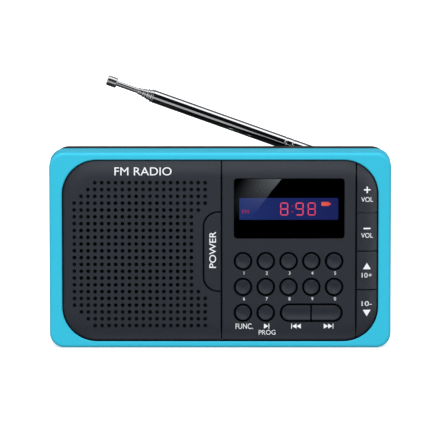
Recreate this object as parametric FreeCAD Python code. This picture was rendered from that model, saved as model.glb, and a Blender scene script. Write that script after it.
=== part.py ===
"""Pocket FM radio with a preset keypad, a lit display and a telescopic aerial, as separate pieces.

Millimetres. +X is to the right, -Y is towards the listener and +Z is up. The origin is under the middle
of the case, on the surface that it stands on. One STEP file per piece goes to parts/.
"""

import FreeCAD, Part
import math
import os

from FreeCAD import Vector

# ---- case ----------------------------------------------------------------------------------------
WIDTH = 130.0
HEIGHT = 75.0
FRONT = -13.0  # tops of the round keys
BACK = 13.0  # outer face of the rear cover
SEAM = 0.0  # where the coloured frame meets the rear cover
CLEAR = 0.1  # general play between neighbouring pieces
BEVEL = 0.15  # small bevel along moulded edges

FRAME_FRONT = -12.7
FRAME_CORNER = 5.6
FRAME_WALL = 1.6
FRAME_BACK = -10.7  # rear face of the frame's front wall
FRAME_EDGE = 1.25  # rounding of the outer front edge
FRAME_RIM = 0.35  # bevel round the opening

COVER_INSET = 0.4
COVER_CORNER = 7.0
COVER_WALL = 1.8
COVER = (-WIDTH / 2 + COVER_INSET, WIDTH / 2 - COVER_INSET, 0, HEIGHT - 0.05, COVER_CORNER)
COVER_EDGE = 6.5  # rounding of the outer rear edge
COVER_INNER_EDGE = 4.0
LIP_REACH = 1.4
LIP_THICK = 0.8
SLOT_SLACK = 0.25  # how much larger a cut-out is than its socket
LABEL_LEFT_X = -57.0
LABEL_RIGHT_X = -15.0
LABEL_BOTTOM_Z = 16.0
LABEL_TOP_Z = 58.0
LABEL_DEPTH = 0.25

SCREW_X = 59.4
SCREW_Z = 5.2  # distance of each screw from the case's bottom or top
BOSS_RADIUS = 2.3
POST_RADIUS = 2.6
SCREW_RADIUS = 1.0
SCREW_HEAD_RADIUS = 1.8
SCREW_HEAD_SEAT = 8.4
SCREW_TIP = -6.0

# ---- dark front: grille, control panel and side keys -----------------------------------------------
OPENING = (-60.2, 60.2, 2.4, 72.3, 13.3)  # left, right, bottom, top, corner radius
PANEL_GAP = 0.35
PANEL_FRONT = -12.5
PANEL_BACK = -10.7
ROLL_WIDTH = 6.4  # the border falls away gently over this width
ROLL_DROP = 0.95
ROLL_STEPS = 6
RIM_OUT = 0.6  # how far the rim reaches behind the frame
RIM_IN = 2.0
RIM_BACK = -9.5

GRILLE_EDGE_X = 0.25
CONTROL_LEFT_X = 0.75
CONTROL_RIGHT_X = 51.45
SIDE_KEY_LEFT_X = 52.0
SIDE_KEY_BREAKS_Z = [75.0, 51.9, 37.2, 22.3, 0.0]
SIDE_KEY_GAPS = [0.4, 0.2, 0.4, 0.4, 0.4]  # the volume pair sits closest together
SIDE_STEM_X = 56.0
SIDE_NAMES = ["key_volume_up", "key_volume_down", "key_ten_up", "key_ten_down"]

HOLE_PITCH = 2.62
HOLE_RADIUS = 0.74
HOLE_COLUMNS = 20
HOLE_ROWS = 22
HOLE_LEFT_X = -55.5
HOLE_TOP_Z = 63.55
HOLE_CORNER = 3  # holes left out along each side of a clipped corner
HOLE_OPEN_RADIUS = 22.5  # further than this from the middle of the speaker the holes are blind
HOLE_BLIND_DEPTH = 1.25
CLOTH_THICK = 0.3

POWER = (-6.1, 0.25, 22.0, 52.0, 5.3)
POWER_GAP = 0.5
POWER_FRONT = -12.65
POWER_EDGE = 0.35

# ---- keys ----------------------------------------------------------------------------------------
KEY_COLUMNS_X = [8.68 + 8.67 * column for column in range(5)]
KEY_ROWS_Z = [33.4, 23.45, 13.5]
KEY_HOLE_RADIUS = 3.45
KEY_RADIUS = 2.8
KEY_EDGE = 0.2
KEY_DISH = 0.35
KEY_DISH_RADIUS = 2.4
KEY_TRAVEL = 0.6
FLANGE_FRONT = PANEL_BACK + CLEAR
FLANGE_BACK = -9.8
FLANGE_REACH = 0.5  # how far a flange reaches behind the panel
STEM_RADIUS = 1.1
PILL = (22.8, 46.6, 10.0, 17.0, 3.499)
PILL_INSET = KEY_HOLE_RADIUS - KEY_RADIUS
PILL_SPLIT_X = 34.64
PILL_SPLIT = 0.6
PRESET_NAMES = ["key_1", "key_2", "key_3", "key_4", "key_5", "key_6", "key_7", "key_8", "key_9", "key_0"]

# ---- display -------------------------------------------------------------------------------------
WINDOW = (5.3, 47.2, 42.1, 65.1, 1.3)
WINDOW_FRONT = -12.45
WINDOW_BACK = -11.4
MASK_BACK = -11.2
LEDGE = 1.2  # width of the shelf that the window is glued to
APERTURE = (7.3, 44.9, 49.2, 57.6, 0.3)
MODULE = (6.1, 46.1, 47.0, 59.8, 0.5)
MODULE_FRONT = -10.6
MODULE_BACK = -3.6
PIN_PITCH = 2.54

# ---- board ---------------------------------------------------------------------------------------
BOARD = (-7.0, 60.5, 8.6, 65.0, 1.0)
BOARD_FRONT = 1.8
BOARD_BACK = 3.0
BOARD_POSTS = [(3.1, 60.5), (49.1, 60.5), (13.0, 28.4), (39.0, 28.4)]
BOARD_POST_RADIUS = 1.6
BOARD_SCREW_RADIUS = 0.8
SWITCH_SIZE = 6.0
SWITCH_FRONT = -1.7
PLUNGER_FRONT = -2.5
PLUNGER_RADIUS = 1.7
STEM_END = PLUNGER_FRONT - KEY_TRAVEL - CLEAR

# ---- speaker -------------------------------------------------------------------------------------
SPEAKER_X = -33.2
SPEAKER_Z = 36.0
SPEAKER_RADIUS = 22.0
SPEAKER_FRONT = PANEL_BACK + CLOTH_THICK
SPEAKER_FLANGE = 0.8
SURROUND_WIDTH = 3.3
BRACKET = (-57.2, -7.3, 6.8, 65.2, 6.0)
BRACKET_THICK = 0.8
SPEAKER_POSTS = [(-54.8, 62.9), (-54.8, 9.1), (-8.7, 37.0)]
SPEAKER_POST_RADIUS = 1.3
SPEAKER_SCREW_RADIUS = 0.6

# ---- battery -------------------------------------------------------------------------------------
BAY = (-8.0, 47.6, 5.6, 43.0, 0.5)
BAY_WALL = 1.2
BAY_FRONT = 4.3
BAY_FLOOR = 5.2
BATTERY = (-7.0, 46.0, 8.0, 42.0, 2.0)
BATTERY_FRONT = 5.3
BATTERY_BACK = 10.6
DOOR = (-10.0, 49.6, 6.0, 45.0, 2.0)
DOOR_GAP = 0.25
DOOR_FRONT = 11.4
SEAT_FRONT = 9.9
SEAT_MARGIN = 1.4
TONGUES_X = [5.0, 34.6]
TONGUE_HALF = 3.0

# ---- sockets in the right-hand wall ---------------------------------------------------------------
SOCKET_FACE_X = 64.0
USB = (46.45, 59.55, 3.0, 8.7)  # bottom, top, front, back
CARD = (19.0, 33.0, 3.0, 4.9)
CHARGE = (9.45, 16.95, 3.0, 5.7)
JACK_Y = 5.9
JACK_Z = 39.5
JACK_RADIUS = 1.8
JACK_DEPTH = 12.5
JACK_NOZZLE = 2.9
JACK_HOLE = 3.05  # in the cover, which the nozzle stands just behind

# ---- aerial --------------------------------------------------------------------------------------
PIVOT_X = 41.3
PIVOT_Y = 10.1
PIVOT_Z = 69.8
RAISE_DEG = 19.7
RECESS = (-54.0, 49.5, 66.6, 90.0)  # left, right, floor, and well above the case
RECESS_FRONT = 7.2
RECESS_WALL = 1.5
SHAFT_RADIUS = 1.6
SHAFT_END = 5.1
FORK_INNER = 1.15
FORK_OUTER = 2.25
FORK_RADIUS = 1.9
PIN_RADIUS = 0.8
LUG_HALF = 1.05
LUG_RADIUS = 2.1
TUBE_RADII = [2.5, 2.1, 1.72, 1.38, 1.02]  # the last one is the solid rod
TUBE_WALL = 0.22
TUBE_PLAY = 0.06
TUBE_START = 6.5
SECTION_START = 11.0  # where the sliding sections begin, each a little further along
SECTION_STEP = 1.2
STOP_LENGTH = 2.0
MOUTHS = [72.1, 73.6, 75.3, 77.2]  # distance of each mouth from the pivot when pushed in
MOUTH_LIP = 1.2
MOUTH_GROOVE = 0.13
CRIMPS = [14.4, 17.4]
TIP_START = 85.85
TIP_LENGTH = 3.95
TIP_RADIUS = 1.95


# ---- helpers -------------------------------------------------------------------------------------
def box(x0, x1, y0, y1, z0, z1):
    return Part.makeBox(x1 - x0, y1 - y0, z1 - z0, Vector(x0, y0, z0))


def rod_y(x, z, radius, y0, y1):
    return Part.makeCylinder(radius, y1 - y0, Vector(x, y0, z), Vector(0, 1, 0))


def rod_x(y, z, radius, x0, x1):
    return Part.makeCylinder(radius, x1 - x0, Vector(x0, y, z), Vector(1, 0, 0))


def grown(area, by):
    """A rounded rectangle (left, right, bottom, top, corner) with its outline moved outwards."""
    left, right, bottom, top, corner = area
    return left - by, right + by, bottom - by, top + by, corner + by


def outline(area, y):
    """The rounded rectangle as a closed wire in the plane at y."""
    left, right, bottom, top, corner = area
    bend = corner * (1 - math.sqrt(0.5))
    arcs = [
        ((right - corner, bottom), (right - bend, bottom + bend), (right, bottom + corner)),
        ((right, top - corner), (right - bend, top - bend), (right - corner, top)),
        ((left + corner, top), (left + bend, top - bend), (left, top - corner)),
        ((left, bottom + corner), (left + bend, bottom + bend), (left + corner, bottom)),
    ]
    edges = []
    for number, arc in enumerate(arcs):
        start, middle, end = [Vector(x, y, z) for x, z in arc]
        before = Vector(arcs[number - 1][2][0], y, arcs[number - 1][2][1])
        edges.append(Part.makeLine(before, start))
        edges.append(Part.Arc(start, middle, end).toShape())
    return Part.Wire(edges)


def slab(area, y0, y1):
    """A plate lying in the XZ plane, with its four corners rounded."""
    return Part.Face(outline(area, y0)).extrude(Vector(0, y1 - y0, 0))


def flare(area, y, by=BEVEL):
    """The solid that bevels the mouth of a hole with this outline in a surface at y."""
    mouth = outline(grown(area, by + 0.01), y - 0.01)
    throat = outline(grown(area, 0), y + by)
    return Part.makeLoft([mouth, throat], True, True)


def cone_flare(x, z, radius, y, by=BEVEL):
    length = by + 0.01
    return Part.makeCone(radius + length, radius, length, Vector(x, y - 0.01, z), Vector(0, 1, 0))


def flat_edges(shape, y):
    """The edges that lie in the plane at y."""
    bounds = [(edge, edge.BoundBox) for edge in shape.Edges]
    return [edge for edge, box_ in bounds if abs(box_.YMin - y) < 1e-4 and abs(box_.YMax - y) < 1e-4]


def softened(shape, y, radius):
    """The shape with every edge in the plane at y rounded."""
    return shape.makeFillet(radius, flat_edges(shape, y))


def turned(profile, start, axis):
    """A solid of revolution from (radius, distance along the axis) points."""
    points = [Vector(radius, 0, along) for radius, along in profile]
    face = Part.Face(Part.makePolygon(points + points[:1]))
    body = face.revolve(Vector(0, 0, 0), Vector(0, 0, 1), 360)
    body.Placement = FreeCAD.Placement(start, FreeCAD.Rotation(Vector(0, 0, 1), axis))
    return body


def merged(shape, *more):
    return shape.fuse(list(more)).removeSplitter()


def single(shape):
    """The only solid of a boolean result."""
    solids = shape.removeSplitter().Solids
    assert len(solids) == 1, f"expected one solid and found {len(solids)}"
    return solids[0]


def screw(x, z, seat, tip, radius, head_radius, head_height):
    """A screw driven towards -Y, with a cross recess in its head."""
    profile = [
        (0, tip),
        (radius * 0.35, tip),
        (radius, tip + radius),
        (radius, seat),
        (head_radius, seat),
        (head_radius, seat + head_height * 0.6),
        (head_radius * 0.7, seat + head_height),
        (0, seat + head_height),
    ]
    body = turned(profile, Vector(x, 0, z), Vector(0, 1, 0))
    slot = head_radius * 0.55
    width = head_radius * 0.12
    top = seat + head_height
    depth = head_height * 0.5
    across = box(x - slot, x + slot, top - depth, top + 1, z - width, z + width)
    upright = box(x - width, x + width, top - depth, top + 1, z - slot, z + slot)
    return single(body.cut([across, upright]))


def corner_screws():
    return [(x, z) for x in (-SCREW_X, SCREW_X) for z in (SCREW_Z, HEIGHT - SCREW_Z)]


# ---- frame and panels ----------------------------------------------------------------------------
def front_frame():
    case = (-WIDTH / 2, WIDTH / 2, 0, HEIGHT, FRAME_CORNER)
    outer = softened(slab(case, FRAME_FRONT, SEAM), FRAME_FRONT, FRAME_EDGE)
    hollow = slab(grown(case, -FRAME_WALL), FRAME_BACK, SEAM + 1)
    bosses = [rod_y(x, z, BOSS_RADIUS, FRAME_BACK - 0.5, SEAM - CLEAR) for x, z in corner_screws()]
    pilots = [rod_y(x, z, SCREW_RADIUS, FRAME_BACK + 1, SEAM) for x, z in corner_screws()]
    opening = slab(OPENING, FRAME_FRONT - 1, FRAME_BACK + 1)
    rim = flare(OPENING, FRAME_FRONT, FRAME_RIM)
    return single(outer.cut(hollow).fuse(bosses).cut([opening, rim, *pilots]))


def panel_blank():
    """The whole dark front in one: a plate with a rolled border, and a rim that sits behind the frame."""
    edge = grown(OPENING, -PANEL_GAP)
    sections = [outline(edge, PANEL_BACK)]
    for step in range(ROLL_STEPS + 1):
        share = step / ROLL_STEPS
        inset = grown(edge, -ROLL_WIDTH * share)
        sections.append(outline(inset, PANEL_FRONT + ROLL_DROP * (1 - share) ** 2))
    plate = Part.makeLoft(sections, True, True)
    rim = merged(slab(grown(OPENING, RIM_OUT), FLANGE_FRONT, RIM_BACK), slab(edge, PANEL_BACK, RIM_BACK))
    return single(plate.fuse(rim).cut(slab(grown(OPENING, -RIM_IN), PANEL_BACK, 0)))


def groove_bevels():
    """V-shaped cuts that bevel both sides of the two upright grooves."""
    bevels = []
    for left, right in ((GRILLE_EDGE_X, CONTROL_LEFT_X), (CONTROL_RIGHT_X, SIDE_KEY_LEFT_X)):
        middle = (left + right) / 2
        half = (right - left) / 2 + BEVEL
        corners = [(middle - half, PANEL_FRONT), (middle + half, PANEL_FRONT), (middle, PANEL_FRONT + half)]
        points = [Vector(x, y, 0) for x, y in corners]
        face = Part.Face(Part.makePolygon(points + points[:1]))
        bevels.append(face.extrude(Vector(0, 0, HEIGHT)))
    return bevels


def hole_centres():
    """The left corners of the field are clipped, and the power key has a clear margin."""
    centres = []
    for row in range(HOLE_ROWS):
        last = HOLE_COLUMNS - 1
        if row in (4, 16):
            last -= 1
        elif 4 < row < 16:
            last -= 2
        for column in range(last + 1):
            from_end = min(row, HOLE_ROWS - 1 - row)
            if column + from_end >= HOLE_CORNER:
                centres.append((HOLE_LEFT_X + HOLE_PITCH * column, HOLE_TOP_Z - HOLE_PITCH * row))
    return centres


def power_hole():
    """The notch for the power key, open to the groove on its right."""
    left, _, bottom, top, corner = grown(POWER, POWER_GAP)
    return left, GRILLE_EDGE_X + 20, bottom, top, corner


def speaker_grille(blank):
    panel = blank.common(box(-WIDTH, GRILLE_EDGE_X, FRONT, 0, 0, HEIGHT))
    posts = [rod_y(x, z, SPEAKER_POST_RADIUS, PANEL_BACK, PANEL_BACK + 1.1) for x, z in SPEAKER_POSTS]
    notch = slab(power_hole(), FRONT, 0)
    pilots = [rod_y(x, z, SPEAKER_SCREW_RADIUS, PANEL_FRONT + 0.7, 0) for x, z in SPEAKER_POSTS]
    panel = panel.fuse(posts).cut([notch, flare(power_hole(), PANEL_FRONT), *groove_bevels(), *pilots])
    holes = []
    for x, z in hole_centres():
        is_open = math.hypot(x - SPEAKER_X, z - SPEAKER_Z) < HOLE_OPEN_RADIUS
        holes.append(rod_y(x, z, HOLE_RADIUS, FRONT, 0 if is_open else PANEL_FRONT + HOLE_BLIND_DEPTH))
    return single(panel.cut(Part.makeCompound(holes)))


def grille_cloth():
    cloth = slab((-57.0, -2.0, 6.6, 66.0, 8.5), PANEL_BACK, PANEL_BACK + CLOTH_THICK)
    left, _, bottom, top, corner = grown(POWER, 1.3)
    key_space = slab((left, GRILLE_EDGE_X + 20, bottom, top, corner), FRONT, 0)
    posts = [rod_y(x, z, SPEAKER_POST_RADIUS + CLEAR, FRONT, 0) for x, z in SPEAKER_POSTS]
    return single(cloth.cut([key_space, *posts]))


def round_key_places():
    """Where each round key is, by name."""
    places = {}
    for number, name in enumerate(PRESET_NAMES):
        places[name] = (KEY_COLUMNS_X[number % 5], KEY_ROWS_Z[number // 5])
    places["key_function"] = (KEY_COLUMNS_X[0], KEY_ROWS_Z[2])
    places["key_play_program"] = (KEY_COLUMNS_X[1], KEY_ROWS_Z[2])
    return places


def control_panel(blank):
    panel = blank.common(box(CONTROL_LEFT_X, CONTROL_RIGHT_X, FRONT, 0, 0, HEIGHT))
    posts = [rod_y(x, z, BOARD_POST_RADIUS, PANEL_BACK, BOARD_FRONT) for x, z in BOARD_POSTS]
    pocket = grown(WINDOW, 0.08)
    cuts = [*groove_bevels(), slab(pocket, FRONT, MASK_BACK), flare(pocket, PANEL_FRONT, 0.1)]
    cuts.append(slab(grown(WINDOW, -LEDGE), FRONT, 0))
    cuts += [slab(PILL, FRONT, 0), flare(PILL, PANEL_FRONT)]
    for x, z in round_key_places().values():
        cuts += [rod_y(x, z, KEY_HOLE_RADIUS, FRONT, 0), cone_flare(x, z, KEY_HOLE_RADIUS, PANEL_FRONT)]
    cuts += [rod_y(x, z, BOARD_SCREW_RADIUS, -6.0, BOARD_FRONT) for x, z in BOARD_POSTS]
    return single(panel.fuse(posts).cut(cuts))


# ---- keys ----------------------------------------------------------------------------------------
def stem(x, z, start):
    return rod_y(x, z, STEM_RADIUS, start, STEM_END)


def key_dish(x, z):
    """The ball that hollows the top of a key."""
    ball = (KEY_DISH_RADIUS**2 + KEY_DISH**2) / (2 * KEY_DISH)
    return Part.makeSphere(ball, Vector(x, FRONT + KEY_DISH - ball, z))


def pill_dish(z):
    """A hollow along the whole long key, with a round end over each of its ends."""
    ball = (KEY_DISH_RADIUS**2 + KEY_DISH**2) / (2 * KEY_DISH)
    left = PILL[0] + KEY_HOLE_RADIUS
    right = PILL[1] - KEY_HOLE_RADIUS
    trough = rod_x(FRONT + KEY_DISH - ball, z, ball, left, right)
    return trough.fuse([key_dish(left, z), key_dish(right, z)])


def round_key(x, z):
    cap = softened(rod_y(x, z, KEY_RADIUS, FRONT, FLANGE_BACK), FRONT, KEY_EDGE)
    flange = rod_y(x, z, KEY_HOLE_RADIUS + FLANGE_REACH, FLANGE_FRONT, FLANGE_BACK)
    return single(cap.cut(key_dish(x, z)).fuse([flange, stem(x, z, FLANGE_BACK - CLEAR)]))


def pill_half(left, right):
    """One half of the long key, between two X positions that clip it at the split."""
    side = box(left, right, FRONT - 1, 0, 0, HEIGHT)
    cap = slab(grown(PILL, -PILL_INSET), FRONT, FLANGE_BACK).common(side)
    cap = softened(cap, FRONT, KEY_EDGE).cut(pill_dish(KEY_ROWS_Z[2]))
    flange = slab(grown(PILL, FLANGE_REACH), FLANGE_FRONT, FLANGE_BACK).common(side)
    middle = (cap.BoundBox.XMin + cap.BoundBox.XMax) / 2
    return single(cap.fuse([flange, stem(middle, KEY_ROWS_Z[2], FLANGE_BACK - CLEAR)]))


def power_plate(by, y0, y1):
    """A plate with the power key's outline, rounded on the left and square along the groove."""
    left, right, bottom, top, corner = grown(POWER, by)
    clip = box(left - 5, right, FRONT, 0, 0, HEIGHT)
    return slab((left, right + 20, bottom, top, corner), y0, y1).common(clip)


def power_button():
    cap = softened(power_plate(0, POWER_FRONT, FLANGE_BACK), POWER_FRONT, POWER_EDGE)
    flange = power_plate(POWER_GAP + FLANGE_REACH - CLEAR, FLANGE_FRONT, FLANGE_BACK)
    x, z = power_centre()
    return single(cap.fuse([flange, stem(x, z, FLANGE_BACK - CLEAR)]))


def power_centre():
    return (POWER[0] + POWER[1]) / 2, (POWER[2] + POWER[3]) / 2


def side_key_spans():
    """Bottom and top of each side key, from the top one down."""
    tops = [z - gap / 2 for z, gap in zip(SIDE_KEY_BREAKS_Z, SIDE_KEY_GAPS)]
    bottoms = [z + gap / 2 for z, gap in zip(SIDE_KEY_BREAKS_Z, SIDE_KEY_GAPS)]
    return list(zip(bottoms[1:], tops))


def side_stem_heights():
    edge = grown(OPENING, -PANEL_GAP)
    return [(max(bottom, edge[2]) + min(top, edge[3])) / 2 for bottom, top in side_key_spans()]


def side_key(blank, bottom, top, middle):
    """A piece of the dark front that tips the switch behind it, held by its rim and an inner ledge."""
    cap = blank.common(box(SIDE_KEY_LEFT_X, WIDTH, FRONT, 0, bottom, top))
    notches = []
    for z in (bottom, top):
        corners = [(PANEL_FRONT, z - BEVEL), (PANEL_FRONT, z + BEVEL), (PANEL_FRONT + BEVEL, z)]
        points = [Vector(0, y, height) for y, height in corners]
        face = Part.Face(Part.makePolygon(points + points[:1]))
        notches.append(face.extrude(Vector(WIDTH, 0, 0)))
    cap = cap.cut([*notches, *groove_bevels()])
    low = max(bottom, OPENING[2] + 5)
    high = min(top, OPENING[3] - 5)
    reach = CONTROL_RIGHT_X - FLANGE_REACH
    ledge = box(reach, SIDE_KEY_LEFT_X + 2, FLANGE_FRONT, FLANGE_BACK, low, high)
    root = box(SIDE_KEY_LEFT_X, SIDE_KEY_LEFT_X + 2, PANEL_BACK, FLANGE_BACK, low, high)
    return single(cap.fuse([ledge, root, stem(SIDE_STEM_X, middle, PANEL_BACK)]))


def switch_places():
    """The point behind each key where its switch stands."""
    places = list(round_key_places().values())
    left = grown(PILL, -PILL_INSET)[0]
    right = grown(PILL, -PILL_INSET)[1]
    places.append(((left + PILL_SPLIT_X - PILL_SPLIT / 2) / 2, KEY_ROWS_Z[2]))
    places.append(((right + PILL_SPLIT_X + PILL_SPLIT / 2) / 2, KEY_ROWS_Z[2]))
    places.append(power_centre())
    places += [(SIDE_STEM_X, middle) for middle in side_stem_heights()]
    return places


# ---- display and board ---------------------------------------------------------------------------
def display_window():
    return softened(slab(WINDOW, WINDOW_FRONT, WINDOW_BACK), WINDOW_FRONT, 0.12)


def display_mask():
    film = slab(grown(WINDOW, -0.1), WINDOW_BACK, MASK_BACK)
    return film.cut(slab(APERTURE, FRONT, 0))


def display_module():
    body = slab(MODULE, MODULE_FRONT, MODULE_BACK)
    middle = (MODULE[0] + MODULE[1]) / 2
    pins = []
    for z in (MODULE[2] + 1.5, MODULE[3] - 1.5):
        for number in range(-6, 7):
            x = middle + PIN_PITCH * number
            pins.append(box(x - 0.25, x + 0.25, MODULE_BACK - 0.5, BOARD_FRONT, z - 0.25, z + 0.25))
    return merged(body, *pins)


def main_board():
    board = slab(BOARD, BOARD_FRONT, BOARD_BACK)
    holes = [rod_y(x, z, BOARD_SCREW_RADIUS + 0.15, 0, 5) for x, z in BOARD_POSTS]
    return board.cut(holes)


def board_screws():
    return Part.makeCompound(
        [screw(x, z, BOARD_BACK, -4.0, BOARD_SCREW_RADIUS, 1.5, 1.0) for x, z in BOARD_POSTS]
    )


def switch_bodies():
    half = SWITCH_SIZE / 2
    outlines = [(x - half, x + half, z - half, z + half, 0.4) for x, z in switch_places()]
    return Part.makeCompound([slab(area, SWITCH_FRONT, BOARD_FRONT) for area in outlines])


def switch_plungers():
    return Part.makeCompound(
        [rod_y(x, z, PLUNGER_RADIUS, PLUNGER_FRONT, SWITCH_FRONT) for x, z in switch_places()]
    )


def board_chips():
    sizes = [(8.0, 48.5, 10.0, 10.0, 1.6), (22.0, 49.5, 7.0, 7.0, 1.0), (33.0, 49.0, 5.0, 4.0, 1.4)]
    sizes += [(20.0, 60.0, 11.0, 3.6, 3.2), (34.0, 57.5, 5.0, 6.2, 1.6)]
    return Part.makeCompound(
        [box(x, x + w, BOARD_BACK, BOARD_BACK + thick, z, z + h) for x, z, w, h, thick in sizes]
    )


def board_capacitors():
    places = [(-3.2, 49.0, 2.5), (-3.2, 56.5, 2.5), (3.4, 52.8, 2.0), (44.5, 49.5, 2.5), (44.5, 57.0, 2.5)]
    cans = []
    for x, z, radius in places:
        end = BOARD_BACK + 2.4 * radius
        cans.append(softened(rod_y(x, z, radius, BOARD_BACK, end), end, 0.3))
    return Part.makeCompound(cans)


# ---- speaker -------------------------------------------------------------------------------------
def speaker_part(profile):
    """A turned speaker piece: distances run backwards from the front of its flange."""
    return turned(profile, Vector(SPEAKER_X, SPEAKER_FRONT, SPEAKER_Z), Vector(0, 1, 0))


def speaker_basket():
    rim = SPEAKER_RADIUS
    shell = [(rim - 1.4, 0), (rim, 0), (rim, SPEAKER_FLANGE), (rim - 1.8, SPEAKER_FLANGE)]
    shell += [(rim - 2.4, 3.2), (9.6, 7.4), (3.6, 7.4), (3.6, 6.9), (9.3, 6.9)]
    shell += [(rim - 2.9, 2.8), (rim - 2.4, 0.5), (rim - 1.4, 0.5)]
    basket = speaker_part(shell)
    windows = []
    for turn in range(4):
        window = box(SPEAKER_X + 10.5, SPEAKER_X + 17.5, -9, 0, SPEAKER_Z - 4.5, SPEAKER_Z + 4.5)
        window.rotate(Vector(SPEAKER_X, 0, SPEAKER_Z), Vector(0, 1, 0), 45 + 90 * turn)
        windows.append(window)
    return single(basket.cut(windows))


def speaker_magnet():
    return speaker_part([(0, 7.4), (9.0, 7.4), (9.0, 12.6), (8.4, 13.2), (0, 13.2)])


def speaker_surround():
    """The soft ring between the cone and the basket's ledge."""
    outer = SPEAKER_RADIUS - 1.5
    inner = outer - SURROUND_WIDTH
    back = [(inner, 1.25), (inner + 1.6, 0.85), (outer - 1.2, 0.45), (outer, 0.45)]
    return speaker_part([*back, (outer, 0.2), (inner + 1.6, 0.35), (inner, 0.9)])


def speaker_cone():
    edge = SPEAKER_RADIUS - 1.5 - SURROUND_WIDTH
    return speaker_part([(edge, 0.9), (edge, 1.25), (4.0, 5.4), (3.4, 6.6), (3.1, 6.6), (3.6, 5.0)])


def speaker_dust_cap():
    profile = [(0, 2.5), (2.6, 3.1), (4.7, 4.55), (4.6, 4.62), (2.5, 3.4), (0, 2.8)]
    return speaker_part(profile)


def speaker_bracket():
    front = SPEAKER_FRONT + SPEAKER_FLANGE
    plate = slab(BRACKET, front, front + BRACKET_THICK)
    cuts = [rod_y(SPEAKER_X, SPEAKER_Z, SPEAKER_RADIUS - 1.6, FRONT, 0)]
    cuts += [rod_y(x, z, SPEAKER_SCREW_RADIUS + CLEAR, FRONT, 0) for x, z in SPEAKER_POSTS]
    return single(plate.cut(cuts))


def speaker_screws():
    seat = SPEAKER_FRONT + SPEAKER_FLANGE + BRACKET_THICK
    tip = PANEL_FRONT + 0.9
    return Part.makeCompound(
        [screw(x, z, seat, tip, SPEAKER_SCREW_RADIUS, 1.2, 0.8) for x, z in SPEAKER_POSTS]
    )


# ---- sockets -------------------------------------------------------------------------------------
def shell_socket(area, depth, wall, tongue):
    """A sheet-metal socket that faces +X, with a contact tongue inside it."""
    bottom, top, front, back = area
    start = SOCKET_FACE_X - depth
    shell = box(start, SOCKET_FACE_X, front, back, bottom, top)
    space = box(start + 1, SOCKET_FACE_X + 1, front + wall, back - wall, bottom + wall, top - wall)
    middle = (front + back) / 2
    blade = box(
        start + 0.5, SOCKET_FACE_X - 1, middle - tongue / 2, middle + tongue / 2, bottom + 1.4, top - 1.4
    )
    return single(shell.cut(space).fuse(blade))


def usb_socket():
    return shell_socket(USB, 13.6, 0.4, 1.8)


def charging_socket():
    return shell_socket(CHARGE, 5.0, 0.35, 0.6)


def card_socket():
    bottom, top, front, back = CARD
    body = box(SOCKET_FACE_X - 13.6, SOCKET_FACE_X - 0.4, front, back, bottom, top)
    slot = box(SOCKET_FACE_X - 12.5, SOCKET_FACE_X, front + 0.4, back - 0.5, bottom + 1.3, top - 1.3)
    return single(body.cut(slot))


def headphone_socket():
    face = WIDTH / 2 - COVER_INSET - COVER_WALL - CLEAR
    start = face - JACK_DEPTH
    body = box(start - 0.6, face - 0.8, BOARD_BACK, 2 * JACK_Y - BOARD_BACK, JACK_Z - 3.2, JACK_Z + 3.2)
    nozzle = rod_x(JACK_Y, JACK_Z, JACK_NOZZLE, face - 1, face)
    return single(body.fuse(nozzle).cut(rod_x(JACK_Y, JACK_Z, JACK_RADIUS, start, face + 1)))


def socket_cutouts():
    """The holes that the sockets need in the cover's right-hand wall."""
    wall = WIDTH / 2 - COVER_INSET - COVER_WALL - 1
    holes = [rod_x(JACK_Y, JACK_Z, JACK_HOLE, wall, WIDTH)]
    for bottom, top, front, back in (USB, CHARGE):
        slack = SLOT_SLACK
        holes.append(box(wall, WIDTH, front - slack, back + slack, bottom - slack, top + slack))
    bottom, top, front, back = CARD
    holes.append(box(wall, WIDTH, front + 0.2, back - 0.2, bottom + 1.0, top - 1.0))
    socket_end = SOCKET_FACE_X - 0.4 + CLEAR
    holes.append(box(wall, socket_end, front - CLEAR, back + CLEAR, bottom - CLEAR, top + CLEAR))
    return holes


# ---- rear cover, battery and door -----------------------------------------------------------------
def cover_outer():
    return softened(slab(COVER, SEAM, BACK), BACK, COVER_EDGE)


def cover_shell():
    back = BACK - COVER_WALL
    hollow = softened(slab(grown(COVER, -COVER_WALL), SEAM - 1, back), back, COVER_INNER_EDGE)
    shell = cover_outer().cut(hollow)
    inside = (-WIDTH / 2, WIDTH / 2, 0, HEIGHT, FRAME_CORNER)
    lip = slab(grown(inside, -FRAME_WALL - CLEAR), SEAM - LIP_REACH, SEAM + 1)
    lip = lip.cut(slab(grown(inside, -FRAME_WALL - CLEAR - LIP_THICK), SEAM - LIP_REACH - 1, SEAM + 2))
    return shell.fuse(lip.common(slab(COVER, SEAM - LIP_REACH, SEAM + 1)))


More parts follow.
